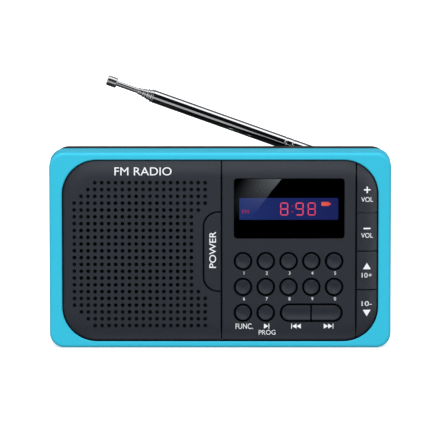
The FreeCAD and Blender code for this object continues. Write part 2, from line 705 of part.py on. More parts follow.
def rear_cover():
    back = BACK - COVER_WALL
    inner_top = HEIGHT - COVER_WALL
    left, right, bottom, top, corner = DOOR
    door_seat = slab(grown(DOOR, SEAT_MARGIN), SEAT_FRONT, back + 0.5)
    bay_low, bay_high = BAY[2] - 2 * BAY_WALL, BAY[3] + BAY_WALL
    bay = box(BAY[0] - BAY_WALL, BAY[1] + BAY_WALL, BAY_FRONT, back + 0.5, bay_low, bay_high)
    trough = box(
        RECESS[0] - RECESS_WALL,
        RECESS[1] + RECESS_WALL,
        RECESS_FRONT - RECESS_WALL,
        back + 0.5,
        RECESS[2] - RECESS_WALL,
        inner_top + 0.5,
    )
    posts = [rod_y(x, z, POST_RADIUS, SEAM, back + 0.5) for x, z in corner_screws()]
    cuts = [
        slab(BAY, BAY_FLOOR, BACK + 1),
        slab(DOOR, DOOR_FRONT - 0.05, BACK + 1),
        box(RECESS[0], RECESS[1], RECESS_FRONT, BACK + 1, RECESS[2], RECESS[3]),
        rod_y(PIVOT_X, PIVOT_Z, SHAFT_RADIUS + 0.05, 0, BACK),
        slab((LABEL_LEFT_X, LABEL_RIGHT_X, LABEL_BOTTOM_Z, LABEL_TOP_Z, 1.5), BACK - LABEL_DEPTH, BACK + 1),
        *socket_cutouts(),
    ]
    for x in TONGUES_X:
        reach = TONGUE_HALF + 0.3
        cuts.append(box(x - reach, x + reach, SEAT_FRONT - 0.4, back, bottom - 1.4, bottom + 1))
    for x, z in corner_screws():
        cuts += [rod_y(x, z, SCREW_RADIUS + CLEAR, SEAM - 1, BACK)]
        cuts += [rod_y(x, z, SCREW_HEAD_RADIUS + 0.2, SCREW_HEAD_SEAT, BACK + 1)]
    outer = cover_outer()
    inner_walls = [wall.common(outer) for wall in (door_seat, bay, trough, *posts)]
    return single(cover_shell().fuse(inner_walls).cut(cuts))


def case_screws():
    return Part.makeCompound(
        [
            screw(x, z, SCREW_HEAD_SEAT, SCREW_TIP, SCREW_RADIUS, SCREW_HEAD_RADIUS, 1.3)
            for x, z in corner_screws()
        ]
    )


def battery():
    pack = slab(BATTERY, BATTERY_FRONT, BATTERY_BACK)
    return softened(softened(pack, BATTERY_BACK, 0.8), BATTERY_FRONT, 0.8)


def battery_contacts():
    blades = [box(BAY[0], BATTERY[0] - 0.05, 6.6, 9.2, z - 0.8, z + 0.8) for z in (13.0, 17.0, 21.0)]
    return Part.makeCompound(blades)


def battery_door():
    plate = slab(grown(DOOR, -DOOR_GAP), DOOR_FRONT, BACK)
    bottom = DOOR[2] + DOOR_GAP
    tongues = []
    for x in TONGUES_X:
        hook = box(x - TONGUE_HALF, x + TONGUE_HALF, 10.0, 11.1, DOOR[2] - 1.1, BATTERY[2] - 0.4)
        root = box(x - TONGUE_HALF, x + TONGUE_HALF, 11.05, DOOR_FRONT + 0.1, bottom, BATTERY[2] - 0.4)
        tongues += [hook, root]
    middle = (DOOR[0] + DOOR[1]) / 2
    latch = box(middle - 5, middle + 5, 9.8, DOOR_FRONT + 0.1, 42.15, 42.85)
    grips = [
        slab((middle - 8, middle + 8, z - 0.45, z + 0.45, 0.44), BACK - 0.4, BACK + 1)
        for z in (37.5, 39.5, 41.5)
    ]
    return single(plate.fuse([*tongues, latch]).cut(grips))


# ---- aerial --------------------------------------------------------------------------------------
def raised(shape):
    """Puts an aerial piece, drawn from the origin along -X, on its pivot at the stored angle."""
    shape.Placement = FreeCAD.Placement(
        Vector(PIVOT_X, PIVOT_Y, PIVOT_Z), FreeCAD.Rotation(Vector(0, 1, 0), RAISE_DEG)
    ).multiply(shape.Placement)
    return shape


def along_aerial(profile):
    return raised(turned(profile, Vector(0, 0, 0), Vector(-1, 0, 0)))


def aerial_base():
    """The swivel: a shaft through the cover, a flange, and the fork that carries the hinge pin."""
    flange_front = RECESS_FRONT + CLEAR - PIVOT_Y
    flange_back = flange_front + 0.6
    shaft = rod_y(0, 0, SHAFT_RADIUS, SHAFT_END - PIVOT_Y, flange_front + 0.1)
    flange = rod_y(0, 0, 2.9, flange_front, flange_back)
    fork = box(-FORK_RADIUS, FORK_RADIUS, flange_front + 0.1, 0, -FORK_OUTER, FORK_OUTER)
    crown = Part.makeCylinder(FORK_RADIUS, 2 * FORK_OUTER, Vector(0, 0, -FORK_OUTER))
    slot = box(-5, 5, flange_back, 5, -FORK_INNER, FORK_INNER)
    pin_hole = Part.makeCylinder(PIN_RADIUS, 10, Vector(0, 0, -5))
    screw_hole = rod_y(0, 0, PIN_RADIUS, SHAFT_END - PIVOT_Y - 1, flange_back - 0.4)
    return raised(single(shaft.fuse([flange, fork, crown]).cut([slot, pin_hole, screw_hole])))


def aerial_pin():
    head = FORK_OUTER + 0.3
    profile = [(0, -head), (1.15, -head), (1.15, -FORK_OUTER), (PIN_RADIUS, -FORK_OUTER)]
    profile += [(PIN_RADIUS, FORK_OUTER), (1.15, FORK_OUTER), (1.15, head), (0, head)]
    return raised(turned(profile, Vector(0, 0, 0), Vector(0, 0, 1)))


def aerial_screw():
    """Holds the swivel from inside the case."""
    seat = SHAFT_END - PIVOT_Y
    head = 1.1
    inner = RECESS_FRONT - PIVOT_Y
    profile = [(0, seat - head), (1.6, seat - head), (2.2, seat - head * 0.5), (2.2, seat)]
    profile += [(PIN_RADIUS, seat), (PIN_RADIUS, inner), (0, inner)]
    return raised(turned(profile, Vector(0, 0, 0), Vector(0, 1, 0)))


def aerial_terminal():
    """The solder tag between the cover and the head of the swivel's screw."""
    back = RECESS_FRONT - RECESS_WALL - 0.05
    front = SHAFT_END + 0.05
    ring = rod_y(PIVOT_X, PIVOT_Z, 2.6, front, back)
    tag = box(PIVOT_X - 1, PIVOT_X + 1, front, back, BOARD[3] - 1.5, PIVOT_Z)
    return single(ring.fuse(tag).cut(rod_y(PIVOT_X, PIVOT_Z, SHAFT_RADIUS + CLEAR, 0, BACK)))


def aerial_knuckle():
    disc = Part.makeCylinder(LUG_RADIUS, 2 * LUG_HALF, Vector(0, 0, -LUG_HALF))
    neck = box(-TUBE_START, 0, -1.7, 1.7, -LUG_HALF, LUG_HALF)
    bore = TUBE_RADII[0] - TUBE_WALL
    radius = TUBE_RADII[0]
    profile = [(0, 4.5), (2.1, 4.5), (radius, 4.9), (radius, TUBE_START)]
    profile += [(bore, TUBE_START), (bore, 10), (0, 10)]
    collar = turned(profile, Vector(0, 0, 0), Vector(-1, 0, 0))
    hole = Part.makeCylinder(PIN_RADIUS + 0.04, 10, Vector(0, 0, -5))
    return raised(single(disc.fuse([neck, collar]).cut(hole)))


def tube_mouth(number):
    """The grooved end of a tube, rolled in to guide the next section: points from the outside inwards."""
    radius = TUBE_RADII[number]
    groove = radius - MOUTH_GROOVE
    lip = TUBE_RADII[number + 1] + TUBE_PLAY
    bore = radius - TUBE_WALL
    end = MOUTHS[number]
    start = end - MOUTH_LIP
    outside = [(radius, end - 0.95), (groove, end - 0.8), (groove, end - 0.6), (radius, end - 0.45)]
    return [*outside, (radius, end - 0.2), (groove, end), (lip, end), (lip, start), (bore, start)]


def stop(number):
    """The wider foot of a sliding section, which the mouth of the tube round it holds back."""
    start = SECTION_START + SECTION_STEP * (number - 1)
    wide = TUBE_RADII[number - 1] - TUBE_WALL - TUBE_PLAY
    return [(wide, start), (wide, start + STOP_LENGTH), (TUBE_RADII[number], start + STOP_LENGTH)]


def aerial_tube_1():
    radius = TUBE_RADII[0]
    profile = [(radius - TUBE_WALL, TUBE_START), (radius, TUBE_START)]
    for crimp in CRIMPS:
        profile += [(radius, crimp - 0.45), (radius - 0.12, crimp - 0.2)]
        profile += [(radius - 0.12, crimp + 0.2), (radius, crimp + 0.45)]
    return along_aerial(profile + tube_mouth(0))


def aerial_section(number):
    """One of the three sliding tubes."""
    foot = stop(number)
    bore = TUBE_RADII[number] - TUBE_WALL
    return along_aerial([(bore, foot[0][1]), *foot, *tube_mouth(number)])


def aerial_rod():
    foot = stop(4)
    radius = TUBE_RADII[4]
    return along_aerial([(0, foot[0][1]), *foot, (radius, TIP_START + 1.5), (0, TIP_START + 1.5)])


def aerial_tip():
    end = TIP_START + TIP_LENGTH
    rod = TUBE_RADII[4]
    profile = [(rod, TIP_START), (TIP_RADIUS - 0.3, TIP_START), (TIP_RADIUS, TIP_START + 0.3)]
    profile += [(TIP_RADIUS, end - 0.4), (TIP_RADIUS - 0.12, end - 0.12), (TIP_RADIUS - 0.4, end), (0, end)]
    profile += [(0, TIP_START + 1.5), (rod, TIP_START + 1.5)]
    return along_aerial(profile)


# ---- wiring --------------------------------------------------------------------------------------
def wire_run(points, radius):
    """A round wire along straight runs with rounded bends."""
    pieces = [Part.makeSphere(radius, Vector(*point)) for point in points[1:-1]]
    for start, end in zip(points, points[1:]):
        run = Vector(*end) - Vector(*start)
        pieces.append(Part.makeCylinder(radius, run.Length, Vector(*start), run))
    return merged(pieces[0], *pieces[1:])


def internal_wires():
    """The two speaker leads and the aerial lead."""
    runs = []
    for z in (28.0, 31.0):
        start = (SPEAKER_X + 15.3, -4.9, z)
        runs.append([start, (-13.0, -2.5, z), (-8.0, 0.3, z), (-5.5, 0.8, z), (-5.5, BOARD_FRONT, z)])
    tag_front = SHAFT_END + 0.05
    tag_end = [(PIVOT_X, tag_front, 64.2), (PIVOT_X, tag_front - 0.6, 64.2)]
    runs.append([*tag_end, (PIVOT_X, BOARD_BACK + 0.7, 63.2), (PIVOT_X, BOARD_BACK, 63.2)])
    return Part.makeCompound([wire_run(points, 0.4) for points in runs])


# ---- everything ----------------------------------------------------------------------------------
def pieces():
    blank = panel_blank()
    yield "front_frame", front_frame()
    yield "speaker_grille", speaker_grille(blank)
    yield "control_panel", control_panel(blank)
    yield "grille_cloth", grille_cloth()
    yield "rear_cover", rear_cover()
    yield "case_screws", case_screws()
    for name, (x, z) in round_key_places().items():
        yield name, round_key(x, z)
    yield "key_previous", pill_half(0, PILL_SPLIT_X - PILL_SPLIT / 2)
    yield "key_next", pill_half(PILL_SPLIT_X + PILL_SPLIT / 2, WIDTH)
    for name, (bottom, top), middle in zip(SIDE_NAMES, side_key_spans(), side_stem_heights()):
        yield name, side_key(blank, bottom, top, middle)
    yield "power_button", power_button()
    yield "display_window", display_window()
    yield "display_mask", display_mask()
    yield "display_module", display_module()
    yield "main_board", main_board()
    yield "board_screws", board_screws()
    yield "board_chips", board_chips()
    yield "board_capacitors", board_capacitors()
    yield "switch_bodies", switch_bodies()
    yield "switch_plungers", switch_plungers()
    yield "speaker_basket", speaker_basket()
    yield "speaker_magnet", speaker_magnet()
    yield "speaker_surround", speaker_surround()
    yield "speaker_cone", speaker_cone()
    yield "speaker_dust_cap", speaker_dust_cap()
    yield "speaker_bracket", speaker_bracket()
    yield "speaker_screws", speaker_screws()
    yield "usb_socket", usb_socket()
    yield "charging_socket", charging_socket()
    yield "card_socket", card_socket()
    yield "headphone_socket", headphone_socket()
    yield "battery", battery()
    yield "battery_contacts", battery_contacts()
    yield "battery_door", battery_door()
    yield "aerial_base", aerial_base()
    yield "aerial_pin", aerial_pin()
    yield "aerial_screw", aerial_screw()
    yield "aerial_terminal", aerial_terminal()
    yield "aerial_knuckle", aerial_knuckle()
    yield "aerial_tube_1", aerial_tube_1()
    for number in (1, 2, 3):
        yield f"aerial_tube_{number + 1}", aerial_section(number)
    yield "aerial_rod", aerial_rod()
    yield "aerial_tip", aerial_tip()
    yield "internal_wires", internal_wires()


os.makedirs("parts", exist_ok=True)
for node, shape in pieces():
    assert shape.isValid(), f"{node} is not a valid shape"
    shape.exportStep(f"parts/{node}.step")
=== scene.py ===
import math

import bmesh
import bpy
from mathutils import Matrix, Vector
from mathutils.bvhtree import BVHTree


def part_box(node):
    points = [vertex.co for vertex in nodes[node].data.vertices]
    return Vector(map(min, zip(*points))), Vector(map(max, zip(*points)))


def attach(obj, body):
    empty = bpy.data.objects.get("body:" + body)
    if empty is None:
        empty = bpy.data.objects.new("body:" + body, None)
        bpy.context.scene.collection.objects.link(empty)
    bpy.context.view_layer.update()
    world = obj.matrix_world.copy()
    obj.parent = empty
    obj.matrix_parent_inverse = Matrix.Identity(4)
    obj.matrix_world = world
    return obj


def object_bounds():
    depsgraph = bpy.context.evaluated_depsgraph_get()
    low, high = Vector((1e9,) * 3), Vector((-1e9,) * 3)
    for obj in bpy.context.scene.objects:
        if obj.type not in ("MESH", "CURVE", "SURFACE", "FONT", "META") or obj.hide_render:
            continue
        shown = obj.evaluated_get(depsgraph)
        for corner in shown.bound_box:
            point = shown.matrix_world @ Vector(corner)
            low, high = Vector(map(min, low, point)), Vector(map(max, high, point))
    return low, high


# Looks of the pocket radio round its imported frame: materials, printing, display, studio and camera.
# Everything is in metres, in the frame's own axes; printed shapes are drawn in millimetres.

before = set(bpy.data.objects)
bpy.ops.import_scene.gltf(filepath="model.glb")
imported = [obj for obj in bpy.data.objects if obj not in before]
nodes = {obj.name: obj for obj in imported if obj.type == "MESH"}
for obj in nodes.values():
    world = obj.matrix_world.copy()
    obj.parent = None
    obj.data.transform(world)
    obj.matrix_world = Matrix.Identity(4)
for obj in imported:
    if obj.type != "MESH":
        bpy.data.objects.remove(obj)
cad_low, cad_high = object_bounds()

MM = 0.001
INK_PROUD = 0.02 * MM  # how far printing stands above the plastic
INK_SUNK = 0.03 * MM  # and how far it reaches into it
INK_CELL = 0.4  # printing is cut into cells of this size, in millimetres
FRONT = -1.0  # the front of the radio faces -Y

# ---- colours ---------------------------------------------------------------------------------------


def linear(channel):
    """One sRGB channel, 0 to 255, as linear light."""
    share = channel / 255
    return share / 12.92 if share <= 0.04045 else ((share + 0.055) / 1.055) ** 2.4


def colour(red, green, blue):
    return (linear(red), linear(green), linear(blue), 1.0)


def scaled(rgba, factor):
    return tuple(min(1.0, c * factor) for c in rgba[:3]) + (1.0,)


CYAN = colour(52, 190, 221)
SLATE = colour(28, 31, 39)
COVER_BLACK = colour(38, 39, 44)
KEY_SLATE = colour(29, 32, 40)
WHITE_INK = colour(236, 238, 242)
CHROME = colour(232, 234, 238)

# ---- node helpers ----------------------------------------------------------------------------------


class Shader:
    """One material's node tree, with short ways to add and join nodes."""

    def __init__(self, name):
        self.material = bpy.data.materials.new(name)
        self.material.use_nodes = True
        self.tree = self.material.node_tree
        self.surface = self.tree.nodes["Principled BSDF"]
        self.place = self.add("ShaderNodeTexCoord").outputs["Object"]

    def add(self, kind, **settings):
        node = self.tree.nodes.new(kind)
        for key, value in settings.items():
            setattr(node, key, value)
        return node

    def join(self, source, target):
        self.tree.links.new(source, target)

    def stretched(self, x, y, z):
        """Coordinates scaled along each axis, for streaks and threads."""
        mapping = self.add("ShaderNodeMapping")
        mapping.inputs["Scale"].default_value = (x, y, z)
        self.join(self.place, mapping.inputs["Vector"])
        return mapping.outputs["Vector"]

    def noise(self, scale, detail=2.0, place=None):
        node = self.add("ShaderNodeTexNoise")
        node.inputs["Scale"].default_value = scale
        node.inputs["Detail"].default_value = detail
        self.join(place or self.place, node.inputs["Vector"])
        return node.outputs["Fac"]

    def ramp(self, factor, *stops):
        """A colour ramp through stops of (position, colour)."""
        node = self.add("ShaderNodeValToRGB")
        elements = node.color_ramp.elements
        while len(elements) < len(stops):
            elements.new(0.5)
        for element, (position, value) in zip(elements, stops):
            element.position = position
            element.color = value
        self.join(factor, node.inputs["Fac"])
        return node.outputs["Color"]

    def mixed(self, factor, first, second, blend="MIX"):
        """Two colours mixed; either may be a socket or a plain value."""
        node = self.add("ShaderNodeMix", data_type="RGBA", blend_type=blend)
        for socket, value in ((node.inputs[0], factor), (node.inputs[6], first), (node.inputs[7], second)):
            if isinstance(value, bpy.types.NodeSocket):
                self.join(value, socket)
            else:
                socket.default_value = value
        return node.outputs[2]

    def spread(self, factor, low, high):
        """A 0 to 1 value spread over low to high."""
        node = self.add("ShaderNodeMapRange")
        node.inputs["To Min"].default_value = low
        node.inputs["To Max"].default_value = high
        self.join(factor, node.inputs["Value"])
        return node.outputs["Result"]

    def bump(self, height, distance, strength=1.0):
        node = self.add("ShaderNodeBump")
        node.inputs["Distance"].default_value = distance
        node.inputs["Strength"].default_value = strength
        self.join(height, node.inputs["Height"])
        self.join(node.outputs["Normal"], self.surface.inputs["Normal"])

    def set(self, **sockets):
        """Plain values straight on the surface's own sockets."""
        for key, value in sockets.items():
            self.surface.inputs[key.replace("_", " ")].default_value = value


def moulded(name, base, gloss, grain, depth, drift=0.05, specular=0.5, painted_shade_from=None):
    """Moulded plastic: spark-eroded grain, with tone and gloss that drift a little across a part.

    Past the depth given, the colour falls to near black: painted shade at the bottom of small holes.
    """
    shader = Shader(name)
    broad = shader.noise(38)
    fine = shader.noise(grain, detail=3)
    tone = shader.ramp(broad, (0.3, scaled(base, 1 - drift)), (0.7, scaled(base, 1 + drift)))
    tone = shader.mixed(fine, tone, scaled(base, 1 + drift / 2))
    dullness = shader.spread(fine, gloss - 0.06, gloss + 0.06)
    if painted_shade_from is not None:
        axes = shader.add("ShaderNodeSeparateXYZ")
        shader.join(shader.place, axes.inputs["Vector"])
        # painted shade: past this depth the colour and gloss fall to near-black matt
        sunk = shader.add("ShaderNodeMapRange")
        sunk.inputs["From Min"].default_value = painted_shade_from
        sunk.inputs["From Max"].default_value = painted_shade_from + 0.1 * MM
        shader.join(axes.outputs["Y"], sunk.inputs["Value"])
        tone = shader.mixed(sunk.outputs["Result"], tone, scaled(base, 0.12))
        dullness = shader.mixed(sunk.outputs["Result"], dullness, (1, 1, 1, 1))
    shader.join(tone, shader.surface.inputs["Base Color"])
    shader.join(dullness, shader.surface.inputs["Roughness"])
    shader.bump(fine, depth)
    shader.set(Specular_IOR_Level=specular)
    return shader.material


def metal(name, base, gloss, streak=(1, 1, 1), scale=600, depth=0.000002, drift=0.06):
    """Plated or bare metal: faint drawing streaks in tone and gloss."""
    shader = Shader(name)
    streaks = shader.noise(scale, detail=4, place=shader.stretched(*streak))
    tone = shader.ramp(streaks, (0.25, scaled(base, 1 - drift)), (0.75, scaled(base, 1 + drift)))
    shader.join(tone, shader.surface.inputs["Base Color"])
    dullness = shader.spread(streaks, max(0.02, gloss - 0.03), gloss + 0.03)
    shader.join(dullness, shader.surface.inputs["Roughness"])
    shader.bump(streaks, depth)
    shader.set(Metallic=1.0)
    return shader.material


def woven_cloth():
    """The thin black cloth behind the grille: two crossing sets of threads."""
    shader = Shader("black_speaker_cloth")
    threads = []
    for direction in ("X", "Z"):
        wave = shader.add("ShaderNodeTexWave", bands_direction=direction)
        wave.inputs["Scale"].default_value = 900
        wave.inputs["Distortion"].default_value = 1.5
        shader.join(shader.place, wave.inputs["Vector"])
        threads.append(wave.outputs["Fac"])
    weave = shader.mixed(0.5, threads[0], threads[1])
    tone = shader.ramp(weave, (0.2, colour(8, 8, 10)), (0.8, colour(20, 20, 23)))
    shader.join(tone, shader.surface.inputs["Base Color"])
    shader.bump(weave, 0.00005)
    shader.set(Roughness=0.95, Sheen_Weight=0.1)
    return shader.material


def clear_window():
    """Clear hard-coated acrylic with the faintest haze."""
    shader = Shader("clear_acrylic")
    haze = shader.noise(90, detail=4)
    shader.join(
        shader.ramp(haze, (0.0, (0.93, 0.95, 0.98, 1)), (1.0, (0.98, 0.99, 1.0, 1))),
        shader.surface.inputs["Base Color"],
    )
    shader.set(Transmission_Weight=1.0, IOR=1.49, Roughness=0.0)
    return shader.material


def circuit_board():
    """Green solder mask over a grid of copper runs."""
    shader = Shader("green_circuit_board")
    runs = shader.add("ShaderNodeTexBrick", offset=0.5)
    runs.inputs["Scale"].default_value = 160
    runs.inputs["Mortar Size"].default_value = 0.03
    runs.inputs["Color1"].default_value = colour(18, 92, 52)
    runs.inputs["Color2"].default_value = colour(14, 80, 46)
    runs.inputs["Mortar"].default_value = colour(60, 130, 70)
    swapped = shader.add("ShaderNodeMapping")
    swapped.inputs["Rotation"].default_value = (math.radians(90), 0, 0)
    shader.join(shader.place, swapped.inputs["Vector"])
    shader.join(swapped.outputs["Vector"], runs.inputs["Vector"])
    shader.join(runs.outputs["Color"], shader.surface.inputs["Base Color"])
    shader.bump(runs.outputs["Fac"], 0.00003)
    shader.set(Roughness=0.35)
    return shader.material


def lit(name, stops, strength, spread_x, gloss=0.4):
    """A self-lit face whose colour drifts from left to right through stops."""
    low, high = spread_x
    shader = Shader(name)
    axes = shader.add("ShaderNodeSeparateXYZ")
    shader.join(shader.place, axes.inputs["Vector"])
    across = shader.add("ShaderNodeMapRange")
    across.inputs["From Min"].default_value = low
    across.inputs["From Max"].default_value = high
    shader.join(axes.outputs["X"], across.inputs["Value"])
    grain = shader.noise(2500)
    tone = shader.ramp(across.outputs["Result"], *stops)
    glow = shader.mixed(shader.spread(grain, 0.0, 0.25), tone, (0, 0, 0, 1))
    shader.join(glow, shader.surface.inputs["Emission Color"])
    shader.join(shader.mixed(0.8, tone, (0, 0, 0, 1)), shader.surface.inputs["Base Color"])
    shader.set(Emission_Strength=strength, Roughness=gloss, Specular_IOR_Level=0.0)
    return shader.material


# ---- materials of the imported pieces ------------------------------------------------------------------

ALONG_AERIAL = (0.05, 1, 1)
HOLE_FLOOR_Y = -11.4 * MM  # just in front of the bottoms of the grille's shallow holes, where their painted shade begins
FINISHES = {
    "frame_plastic": moulded("cyan_case_plastic", CYAN, 0.34, 2600, 0.000004, drift=0.02, specular=0.4),
    "panel_plastic": moulded("slate_panel_plastic", SLATE, 0.42, 3400, 0.000008, painted_shade_from=HOLE_FLOOR_Y),
    "cover_plastic": moulded("black_cover_plastic", COVER_BLACK, 0.58, 2200, 0.00002, specular=0.35),
    "key_plastic": moulded("slate_key_plastic", KEY_SLATE, 0.42, 3400, 0.000006, specular=0.4),
    "cloth": woven_cloth(),
    "window_glass": clear_window(),
    "mask_film": moulded("black_mask_film", colour(4, 4, 6), 0.5, 1500, 0.000004, specular=0.1),
    "module_black": moulded("display_module_black", colour(16, 16, 18), 0.5, 1800, 0.00001),
    "board_green": circuit_board(),
    "chip_black": moulded("chip_epoxy", colour(26, 26, 28), 0.6, 4000, 0.00001),
    "can_aluminium": metal("capacitor_aluminium", colour(196, 198, 202), 0.3, (1, 0.1, 1)),
    "switch_black": moulded("switch_nylon", colour(24, 24, 26), 0.5, 3000, 0.00001),
    "basket_steel": metal("zinc_basket", colour(150, 152, 156), 0.42),
    "magnet_iron": moulded("ferrite_magnet", colour(52, 50, 50), 0.75, 900, 0.00006),
    "surround_rubber": moulded("black_rubber", colour(22, 22, 23), 0.8, 2500, 0.00002),
    "cone_paper": moulded("pressed_paper", colour(38, 36, 34), 0.95, 1300, 0.00006, drift=0.18),
    "bracket_steel": metal("zinc_bracket", colour(168, 170, 174), 0.38),
    "screw_steel": metal("black_zinc_screws", colour(120, 122, 128), 0.3),
    "socket_steel": metal("tinned_socket_shell", colour(196, 198, 200), 0.24, (0.2, 1, 1)),
    "socket_black": moulded("socket_nylon", colour(20, 20, 22), 0.45, 3000, 0.00001),
    "battery_wrap": moulded("battery_sleeve", colour(40, 82, 150), 0.35, 1200, 0.00001, drift=0.08),
    "contact_brass": metal("gilt_contacts", colour(214, 176, 92), 0.25),
    "aerial_chrome": metal("chrome_plate", CHROME, 0.05, ALONG_AERIAL, depth=0.0000004, drift=0.03),
    "wire_rubber": moulded("wire_insulation", colour(150, 28, 30), 0.45, 1500, 0.00001),
}
SATIN_CHROME = metal("satin_chrome", CHROME, 0.24, ALONG_AERIAL, depth=0.0000004, drift=0.03)
SATIN_NODES = ("aerial_tube_2", "aerial_tube_3", "aerial_tube_4", "aerial_rod", "aerial_tip")


def dress_nodes():
    """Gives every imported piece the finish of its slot, except that the aerial's thin end is satin chrome."""
    for node in nodes.values():
        for place in node.material_slots:
            place.material = FINISHES[place.material.name.split(".")[0]]
    for name in SATIN_NODES:
        nodes[name].material_slots[0].material = SATIN_CHROME


dress_nodes()

INK = moulded("white_ink", WHITE_INK, 0.5, 3000, 0.000004, drift=0.03, specular=0.3)

# ---- flat shapes for printing, in millimetres, x to the right and z up -------------------------------


def plate(points):
    """A closed flat outline as a thin two-sided plate: the vertices' y is -1 in front and +1 behind."""
    mesh = bmesh.new()
    face = mesh.faces.new([mesh.verts.new((x, FRONT, z)) for x, z in points])
    face.normal_update()
    if face.normal.y > 0:
        face.normal_flip()
    back = bmesh.ops.extrude_face_region(mesh, geom=[face])
    for element in back["geom"]:
        if isinstance(element, bmesh.types.BMVert):
            element.co.y = -FRONT
    bmesh.ops.recalc_face_normals(mesh, faces=mesh.faces)
    return finished(mesh, "plate")


def finished(mesh, name):
    """The bmesh as a plain mesh."""
    data = bpy.data.meshes.new(name)
    mesh.to_mesh(data)
    mesh.free()
    return data


def rectangle(x, z, width, height):
    left, right, low, high = x - width / 2, x + width / 2, z - height / 2, z + height / 2
    return plate([(left, low), (right, low), (right, high), (left, high)])


def rounded_outline(left, right, low, high, radius, steps=6):
    """Points round a rectangle with rounded corners."""
    points = []
    centres = [(right - radius, high - radius), (left + radius, high - radius)]
    centres += [(left + radius, low + radius), (right - radius, low + radius)]
    for quarter, (x, z) in enumerate(centres):
        for step in range(steps + 1):
            turn = math.radians(90 * (quarter + step / steps))
            points.append((x + radius * math.cos(turn), z + radius * math.sin(turn)))
    return points


def triangle(x, z, width, height, turn):
    """A solid arrow head about (x, z) that points right, turned by turn degrees; width is along its axis."""
    corners = [(width / 2, 0), (-width / 2, height / 2), (-width / 2, -height / 2)]
    c, s = math.cos(math.radians(turn)), math.sin(math.radians(turn))
    return plate([(x + a * c - b * s, z + a * s + b * c) for a, b in corners])


def cross(x, z, size, thick):
    """A plus sign."""
    a, b = size / 2, thick / 2
    quarter = [(a, -b), (a, b), (b, b), (b, a)]
    corners = []
    for turn in range(4):
        for px, pz in quarter:
            for _ in range(turn):
                px, pz = -pz, px
            corners.append((x + px, z + pz))
    return plate(corners[:3] + [c for k, c in enumerate(corners[3:]) if c != corners[2 + k]])


def lettering(text, x, z, height, width=None, bold=0.0, turn=0):
    """Letters in the built-in typeface, fitted to a cap height and, if given, a width, centred on (x, z)."""
    curve = bpy.data.curves.new("type", "FONT")
    curve.body = text
    curve.offset = bold
    curve.extrude = 1.0
    curve.resolution_u = 5
    holder = bpy.data.objects.new("type", curve)
    mesh = bpy.data.meshes.new_from_object(holder)
    bpy.data.objects.remove(holder)
    xs = [v.co.x for v in mesh.vertices]
    ys = [v.co.y for v in mesh.vertices]
    tall = height / (max(ys) - min(ys))
    wide = width / (max(xs) - min(xs)) if width else tall
    middle_x, middle_y = (max(xs) + min(xs)) / 2, (max(ys) + min(ys)) / 2
    c, s = math.cos(math.radians(turn)), math.sin(math.radians(turn))
    for vertex in mesh.vertices:
        across, up = (vertex.co.x - middle_x) * wide, (vertex.co.y - middle_y) * tall
        vertex.co = (x + across * c - up * s, -vertex.co.z, z + across * s + up * c)
    return mesh


def joined(meshes):
    """Several meshes as one bmesh, with coincident points made one."""
    whole = bmesh.new()
    for mesh in meshes:
        whole.from_mesh(mesh)
        bpy.data.meshes.remove(mesh)
    bmesh.ops.remove_doubles(whole, verts=whole.verts, dist=0.0005)
    return whole


def shown(name, mesh, material, body):
    """Puts a mesh in the scene as a piece that rides on a body."""
    data = mesh if isinstance(mesh, bpy.types.Mesh) else finished(mesh, name)
    data.materials.clear()
    data.materials.append(material)
    piece = bpy.data.objects.new(name, data)
    bpy.context.scene.collection.objects.link(piece)
    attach(piece, body)
    return piece


def surface_of(node):
    """A ray-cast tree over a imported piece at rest."""
    mesh = nodes[node].data
    return BVHTree.FromPolygons([v.co for v in mesh.vertices], [p.vertices for p in mesh.polygons])


def diced(mesh, size):
    """Cuts a bmesh into small cells across and up, so that it can follow a curved surface."""
    for axis in (Vector((1, 0, 0)), Vector((0, 0, 1))):
        reach = [vertex.co.dot(axis) for vertex in mesh.verts]
        for step in range(math.ceil(min(reach) / size), math.ceil(max(reach) / size)):
            everything = mesh.verts[:] + mesh.edges[:] + mesh.faces[:]
            bmesh.ops.bisect_plane(mesh, geom=everything, plane_co=axis * step * size, plane_no=axis)
    bmesh.ops.triangulate(mesh, faces=mesh.faces[:])


def printed(name, body, host, shapes, material=None):
    """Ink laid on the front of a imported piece: each point follows that piece's surface."""
    ink = joined(shapes)
    diced(ink, INK_CELL)
    tree = surface_of(host)
    for vertex in ink.verts:
        start = Vector((vertex.co.x * MM, cad_low.y - 10 * MM, vertex.co.z * MM))
        hit = tree.ray_cast(start, Vector((0, 1, 0)))[0]
        lift = INK_PROUD if vertex.co.y < 0 else -INK_SUNK
        vertex.co = (start.x, hit.y - lift, start.z)
    return shown(name, ink, material or INK, body)


# ---- printing on the front ----------------------------------------------------------------------------


def middle(node):
    """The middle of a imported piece's front outline, in millimetres."""
    low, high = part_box(node)
    return (low.x + high.x) / 2 / MM, (low.z + high.z) / 2 / MM


def transport_mark(x, z, kinds, size):
    """A row of arrow heads (">" or "<") and bars ("|") centred on x."""
    widths = {">": 0.82 * size, "<": 0.82 * size, "|": 0.24 * size}
    left = x - sum(widths[k] for k in kinds) / 2
    shapes = []
    for kind in kinds:
        centre = left + widths[kind] / 2
        if kind == "|":
            shapes.append(rectangle(centre, z, 0.6 * widths[kind], size))
        else:
            shapes.append(triangle(centre, z, widths[kind], size, 0 if kind == ">" else 180))
        left += widths[kind]
    return shapes


def print_key_numbers():
    """A small numeral under each preset key."""
    shapes = []
    for digit in "1234567890":
        x, z = middle(f"key_{digit}")
        shapes.append(lettering(digit, x + 0.4, z - 4.6, 1.25))
    return shapes


